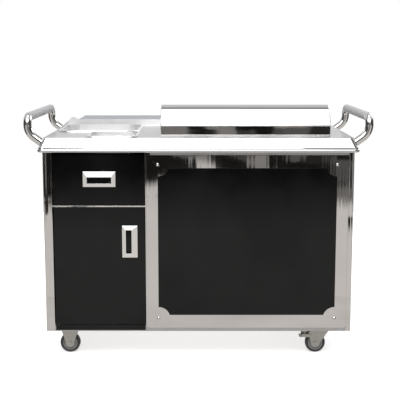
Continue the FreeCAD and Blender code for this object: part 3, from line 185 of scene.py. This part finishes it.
def satin_steel(grain, colour=(0.76, 0.76, 0.765), rough=0.38):
    """Brushed stainless sheet: clear grain, water marks and small scratches."""
    material, shader = start_material("satin_steel_" + grain, colour, metallic=1.0, roughness=0.3)
    tree = material.node_tree
    lines = noise(tree, 700, 3, GRAINS[grain], 0.7)
    marks = noise(tree, 14, 6)
    dull = [0.9 * part for part in colour]
    clear = [1.06 * part for part in colour]
    tree.links.new(two_colours(tree, marks, dull, clear), shader.inputs["Base Color"])
    evenness = spread(tree, marks, rough - 0.04, rough + 0.04)
    lined = total(tree, evenness, spread(tree, lines, 0.0, 0.12))
    tree.links.new(lined, shader.inputs["Roughness"])
    waves = bump(tree, shader, noise(tree, 7, 1), 0.0008)
    bump(tree, shader, lines, 0.00003, waves)
    return material


def frame_steel():
    """Mill finish tube."""
    material, shader = start_material("frame_steel", (0.50, 0.50, 0.50), metallic=1.0, roughness=0.35)
    tree = material.node_tree
    marks = noise(tree, 25, 6)
    lines = noise(tree, 300, 3, GRAINS["x"])
    colour = two_colours(tree, marks, (0.42, 0.42, 0.43), (0.55, 0.55, 0.55))
    tree.links.new(colour, shader.inputs["Base Color"])
    tree.links.new(spread(tree, marks, 0.28, 0.45), shader.inputs["Roughness"])
    bump(tree, shader, lines, 0.00004)
    return material


def black_gloss():
    """Gloss black panel: deep colour, a little orange peel, and a painted reflection of the floor that
    makes the colour lighter lower down.
    """
    material, shader = start_material("black_gloss", (0.004, 0.004, 0.0042),
                                      metallic=0.0, roughness=0.08, Specular_IOR_Level=0.12)
    tree = material.node_tree
    haze = noise(tree, 3.5, 4)
    specks = spread(tree, noise(tree, 420, 2), 0.0, 0.15, 0.62, 0.75)
    place = add(tree, "TexCoord")
    height = add(tree, "SeparateXYZ")
    tree.links.new(place.outputs["Object"], height.inputs[0])
    # painted reflection of the lit floor: the base colour grows lighter below the given heights
    low = spread(tree, height.outputs["Z"], 0.75, 0.0, *PAINTED_FLOOR_REFLECTION_HEIGHTS)
    patches = spread(tree, haze, 0.0, 0.3, 0.4, 0.6)
    colour = two_colours(tree, total(tree, total(tree, low, patches), specks),
                         (0.0012, 0.0012, 0.0015), (0.0125, 0.0125, 0.0125))
    tree.links.new(colour, shader.inputs["Base Color"])
    tree.links.new(spread(tree, haze, 0.05, 0.15), shader.inputs["Roughness"])
    waves = bump(tree, shader, noise(tree, 4, 1), 0.0016)
    bump(tree, shader, noise(tree, 160, 2), 0.000015, waves)
    return material


def chrome():
    """Chrome plate on the pulls."""
    material, shader = start_material("chrome", (0.80, 0.80, 0.80), metallic=1.0, roughness=0.06)
    tree = material.node_tree
    smudges = noise(tree, 40, 4)
    tree.links.new(spread(tree, smudges, 0.03, 0.12), shader.inputs["Roughness"])
    bump(tree, shader, noise(tree, 90, 2), 0.00004)
    return material


def zinc():
    """Bright zinc plate: pressed steel with fine mottling."""
    material, shader = start_material("zinc", (0.52, 0.52, 0.50), metallic=1.0, roughness=0.32)
    tree = material.node_tree
    mottle = noise(tree, 120, 4)
    colour = two_colours(tree, mottle, (0.33, 0.33, 0.31), (0.50, 0.50, 0.47))
    tree.links.new(colour, shader.inputs["Base Color"])
    tree.links.new(spread(tree, mottle, 0.24, 0.42), shader.inputs["Roughness"])
    bump(tree, shader, noise(tree, 600, 2), 0.00004)
    return material


def grip():
    """Satin grey sleeve on the push bars."""
    material, shader = start_material("grip", (0.36, 0.36, 0.37),
                                      metallic=0.0, roughness=0.5, Specular_IOR_Level=0.4)
    tree = material.node_tree
    marks = noise(tree, 60, 5)
    colour = two_colours(tree, marks, (0.31, 0.31, 0.32), (0.41, 0.41, 0.42))
    tree.links.new(colour, shader.inputs["Base Color"])
    tree.links.new(spread(tree, marks, 0.38, 0.6), shader.inputs["Roughness"])
    bump(tree, shader, noise(tree, 1500, 2), 0.00002)
    return material


def tyre():
    """Dark rubber with scuffs from the floor."""
    material, shader = start_material("tyre", (0.03, 0.03, 0.03), metallic=0.0, roughness=0.6)
    tree = material.node_tree
    scuffs = noise(tree, 130, 6, (1, 0.4, 1), 0.7)
    colour = two_colours(tree, scuffs, (0.022, 0.022, 0.023), (0.06, 0.058, 0.055))
    tree.links.new(colour, shader.inputs["Base Color"])
    tree.links.new(spread(tree, scuffs, 0.45, 0.75), shader.inputs["Roughness"])
    bump(tree, shader, noise(tree, 900, 3), 0.00012)
    return material


def wheel_core():
    """Moulded grey plastic."""
    material, shader = start_material("wheel_core", (0.25, 0.25, 0.26), metallic=0.0, roughness=0.45)
    tree = material.node_tree
    marks = noise(tree, 90, 4)
    colour = two_colours(tree, marks, (0.20, 0.20, 0.21), (0.31, 0.31, 0.32))
    tree.links.new(colour, shader.inputs["Base Color"])
    bump(tree, shader, noise(tree, 1200, 2), 0.00005)
    return material


# nodes whose sheet is brushed or buffed along another direction than X
ALONG_Z = ("front_left_post", "front_right_post", "rear_posts", "bay_post", "left_side_panel",
           "right_side_panel", "rear_panel", "front_panel", "partition_panel", "shelf_brackets")
ALONG_Y = ("left_handle", "right_handle")

# narrow rolled tubes sway more than the wide flat sheets
SWAY = {"front_left_post": 0.0005, "front_right_post": 0.0005, "rear_posts": 0.0005,
        "bay_post": 0.00006, "front_panel": 0.00012, "left_handle": 0.0, "right_handle": 0.0}
SHEET_SWAY = 0.00006

# nodes of brushed sheet with a colour and roughness apart from the rest: the sink bowl and prep pan get
# a lighter colour that is painted light, and the rear shelf gets a darker, bluer one that is painted
# shade
SATIN_LIT_AND_SHADED = {"rear_shelf": ((0.43, 0.45, 0.48), 0.38), "sink_bowl": ((0.95, 0.95, 0.95), 0.26),
         "prep_pan": ((0.95, 0.95, 0.95), 0.26)}


def grain_of(node):
    """The axis that the sheet's grain runs along."""
    if node in ALONG_Z:
        return "z"
    if node in ALONG_Y:
        return "y"
    return "x"


def dress_nodes(frame):
    """Each CAD node gets the material that its slot in the record names."""
    plain = {"frame_steel": frame_steel, "black_gloss": black_gloss, "black_board": black_gloss,
             "chrome": chrome, "zinc": zinc, "grip": grip, "tyre": tyre,
             "wheel_core": wheel_core}
    made = {}
    for row in frame["record"]["subparts"]:
        node, slot = row["node"], row["material_slot"]
        if node == "countertop":
            maker, details = counter_steel, ()
        elif slot == "polished_steel":
            maker, details = polished_steel, (grain_of(node), SWAY.get(node, SHEET_SWAY))
        elif slot == "satin_steel":
            maker, details = satin_steel, (grain_of(node), *SATIN_LIT_AND_SHADED.get(node, ()))
        else:
            maker, details = plain[slot], ()
        key = (maker, details)
        if key not in made:
            made[key] = maker(*details)
        for place in frame["nodes"][node].material_slots:
            place.material = made[key]


# metres of rounding on the edges of folded and cut sheet and tube
ROUNDINGS = {"splash_guard": 0.0004, "well_surround": 0.0004,
             "front_left_post": 0.0004, "front_right_post": 0.0004, "rear_posts": 0.0004,
             "bay_post": 0.0006, "front_panel": 0.0003, "front_inset": 0.0003,
             "base_frame": 0.0006, "top_frame": 0.0006, "shelf_brackets": 0.0008,
             "kick_strip": 0.0003, "drawer_pull": 0.0004, "door_pull": 0.0004}
SHARP_ANGLE = 40            # degrees between two faces that make an edge worth rounding


def soften(frame):
    """Small rounded edges, as folded and ground metal has."""
    for node, width in ROUNDINGS.items():
        piece = frame["nodes"][node]
        weld = piece.modifiers.new("weld", "WELD")
        weld.merge_threshold = 0.00001
        bevel = piece.modifiers.new("edges", "BEVEL")
        bevel.width = width
        bevel.segments = 2
        bevel.limit_method = "ANGLE"
        bevel.angle_limit = math.radians(SHARP_ANGLE)
        bevel.harden_normals = True


# ---------------------------------------------------------------- stage


def make_camera():
    data = bpy.data.cameras.new("camera")
    data.lens = LENS_MM
    data.clip_end = 100
    camera = bpy.data.objects.new("camera", data)
    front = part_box("front_left_post")[0].y
    camera.location = (CAMERA_RIGHT, front - CAMERA_AHEAD, CAMERA_HEIGHT)
    camera.rotation_euler = (math.radians(90 - CAMERA_DOWN), 0, 0)
    bpy.context.scene.collection.objects.link(camera)
    bpy.context.scene.camera = camera


def by_camera(tree, seen, mirrored, out):
    """The first shader for the camera's own rays, the second for all others."""
    rays = add(tree, "LightPath")
    choose = add(tree, "MixShader")
    tree.links.new(rays.outputs["Is Camera Ray"], choose.inputs[0])
    tree.links.new(mirrored, choose.inputs[1])
    tree.links.new(seen, choose.inputs[2])
    tree.links.new(choose.outputs[0], out.inputs["Surface"])


def make_floor():
    """A round pale floor that runs into the pale background; the metal mirrors it light grey."""
    bpy.ops.mesh.primitive_circle_add(vertices=96, radius=FLOOR_RADIUS, fill_type="NGON",
                                      location=(0, FLOOR_BACK, 0))
    floor = bpy.context.object
    floor.name = "floor"
    material, shader = start_material("floor", (0.9, 0.9, 0.9), metallic=0.0, roughness=0.8)
    shader.inputs["Emission Color"].default_value = (1, 1, 1, 1)
    shader.inputs["Emission Strength"].default_value = 0.5
    tree = material.node_tree
    mirrored = add(tree, "Emission")
    tones = [[tone * part for part in WARM] for tone in FLOOR_TONES]
    tree.links.new(two_colours(tree, noise(tree, 2.5, 3), *tones), mirrored.inputs["Color"])
    by_camera(tree, shader.outputs[0], mirrored.outputs[0], tree.nodes["Material Output"])
    floor.data.materials.append(material)


def make_light(name, place, target, width, height, power):
    """A soft rectangular lamp that points at the target; sizes in metres, power in watts."""
    data = bpy.data.lights.new(name, "AREA")
    data.shape = "RECTANGLE"
    data.size = width
    data.size_y = height
    data.energy = power
    light = bpy.data.objects.new(name, data)
    light.location = place
    aim = Vector(target) - Vector(place)
    light.rotation_euler = aim.to_track_quat("-Z", "Y").to_euler()
    bpy.context.scene.collection.objects.link(light)
    return light


def rise(degrees):
    """Where an elevation lies on a ramp that runs from straight down to straight up."""
    return 0.5 + 0.5 * math.sin(math.radians(degrees))


def ramp(tree, value, stops):
    """A grey ramp: stops are (elevation in degrees, brightness)."""
    node = add(tree, "ValToRGB")
    elements = node.color_ramp.elements
    while len(elements) > 1:
        elements.remove(elements[-1])
    elements[0].position = rise(stops[0][0])
    elements[0].color = (stops[0][1],) * 3 + (1,)
    for degrees, bright in stops[1:]:
        element = elements.new(rise(degrees))
        element.color = (bright, bright, bright, 1)
    tree.links.new(value, node.inputs["Fac"])
    return node.outputs["Color"]


def blend(tree, share, first, second):
    """The first colour where share is 0, the second where it is 1."""
    node = add(tree, "Mix")
    node.data_type = "RGBA"
    tree.links.new(share, node.inputs[0])
    tree.links.new(first, node.inputs[6])
    tree.links.new(second, node.inputs[7])
    return node.outputs[2]


def math_node(tree, operation, value, number=0.0):
    """The value after one operation with a plain number."""
    node = add(tree, "Math", operation)
    tree.links.new(value, node.inputs[0])
    node.inputs[1].default_value = number
    return node.outputs[0]


def random_shapes(tree, across, height, columns, rows):
    """Two random numbers for each straight-edged shape seen along a view direction."""
    place = add(tree, "CombineXYZ")
    tree.links.new(math_node(tree, "MULTIPLY", across, columns), place.inputs[0])
    tree.links.new(math_node(tree, "MULTIPLY", height, rows), place.inputs[1])
    cells = add(tree, "TexVoronoi")
    cells.voronoi_dimensions = "2D"
    cells.distance = "CHEBYCHEV"
    cells.inputs["Scale"].default_value = 1.0
    tree.links.new(place.outputs[0], cells.inputs["Vector"])
    split = add(tree, "SeparateColor")
    tree.links.new(cells.outputs["Color"], split.inputs[0])
    return split.outputs[0], split.outputs[1]


def dark_room(tree, height, across, aside):
    """Where the dark room in front is, and how bright the shapes in it are."""
    skyline, tone = random_shapes(tree, across, height, ROOM_COLUMNS, ROOM_ROWS)
    edge = total(tree, height, spread(tree, skyline, -0.006, 0.010, 0.0, 1.0))
    edge = total(tree, edge, math_node(tree, "MULTIPLY", aside, 0.13))
    where = ramp(tree, edge, ROOM_BAND)
    centred = spread(tree, aside, 1.0, 0.0, 0.30, 0.42)
    within = add(tree, "Math", "MULTIPLY")
    tree.links.new(where, within.inputs[0])
    tree.links.new(centred, within.inputs[1])
    shapes = spread(tree, tone, 0.012, 0.30, 0.5, 0.95)
    openings = spread(tree, aside, 0.0, 0.5, 0.168, 0.175)
    return within.outputs[0], total(tree, shapes, openings)


def multiply(tree, colour, tint):
    """The colour times the tint."""
    node = add(tree, "Mix")
    node.data_type = "RGBA"
    node.blend_type = "MULTIPLY"
    node.inputs[0].default_value = 1.0
    tree.links.new(colour, node.inputs[6])
    tree.links.new(tint, node.inputs[7])
    return node.outputs[2]


def add_screens(tree, height, aside, behind):
    """Dark screens at both ends of the cart, in front of the picture behind them."""
    far = spread(tree, aside, 0.0, 1.0, 0.80, 0.86)
    share = add(tree, "Math", "MULTIPLY")
    tree.links.new(far, share.inputs[0])
    tree.links.new(ramp(tree, height, SCREEN_BAND), share.inputs[1])
    dark = add(tree, "Mix")
    dark.data_type = "RGBA"
    dark.inputs[7].default_value = (*SCREEN_TONE, 1)
    tree.links.new(share.outputs[0], dark.inputs[0])
    tree.links.new(behind, dark.inputs[6])
    return dark.outputs[2]


def make_world():
    """A studio all round, as the metal mirrors it.

    In front a dark room with upright shapes stands on a light floor, with bright lamps above
    it. Behind, a pale wall ends under a dark beam and the bright ceiling. Dark wings stand at
    both sides. The camera itself sees plain white.
    """
    world = bpy.data.worlds.new("studio")
    world.use_nodes = True
    tree = world.node_tree
    tree.nodes.clear()
    place = add(tree, "TexCoord")
    parts = add(tree, "SeparateXYZ")
    tree.links.new(place.outputs["Generated"], parts.inputs[0])
    height = spread(tree, parts.outputs["Z"], 0.0, 1.0, -1.0, 1.0)
    aside = math_node(tree, "ABSOLUTE", parts.outputs["X"])

    lamps = ramp(tree, height, LAMPS)
    wings = ramp(tree, height, WINGS)
    beside = spread(tree, aside, 0.0, 1.0, 0.33, 0.40)
    room, room_tone = dark_room(tree, height, parts.outputs["X"], aside)
    front = blend(tree, room, blend(tree, beside, lamps, wings), room_tone)
    rear = ramp(tree, height, REAR_WALL)
    side = spread(tree, parts.outputs["Y"], 0.0, 1.0, -0.4, 0.1)
    picture = add_screens(tree, height, aside, blend(tree, side, front, rear))

    tint = two_colours(tree, spread(tree, parts.outputs["Z"], 0.0, 1.0, -0.05, 0.05), WARM, COOL)
    mirrored = add(tree, "Background")
    tree.links.new(multiply(tree, picture, tint), mirrored.inputs["Color"])
    seen = add(tree, "Background", Color=(1, 1, 1, 1))
    by_camera(tree, seen.outputs[0], mirrored.outputs[0], add(tree, "OutputWorld"))
    bpy.context.scene.world = world


def make_stage():
    make_camera()
    make_floor()
    make_world()
    make_light("softbox", place=(-0.6, -2.4, 3.0), target=(0, -0.2, 0.7),
               width=3.0, height=1.6, power=90)
    make_light("fill", place=(2.2, 1.6, 2.4), target=(0, 0, 0.6),
               width=1.6, height=1.6, power=30)
    view = bpy.context.scene.view_settings
    view.view_transform = "Standard"


# ---------------------------------------------------------------- the scene


def main():
    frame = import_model()
    dress_nodes(frame)
    soften(frame)
    make_stage()


main()
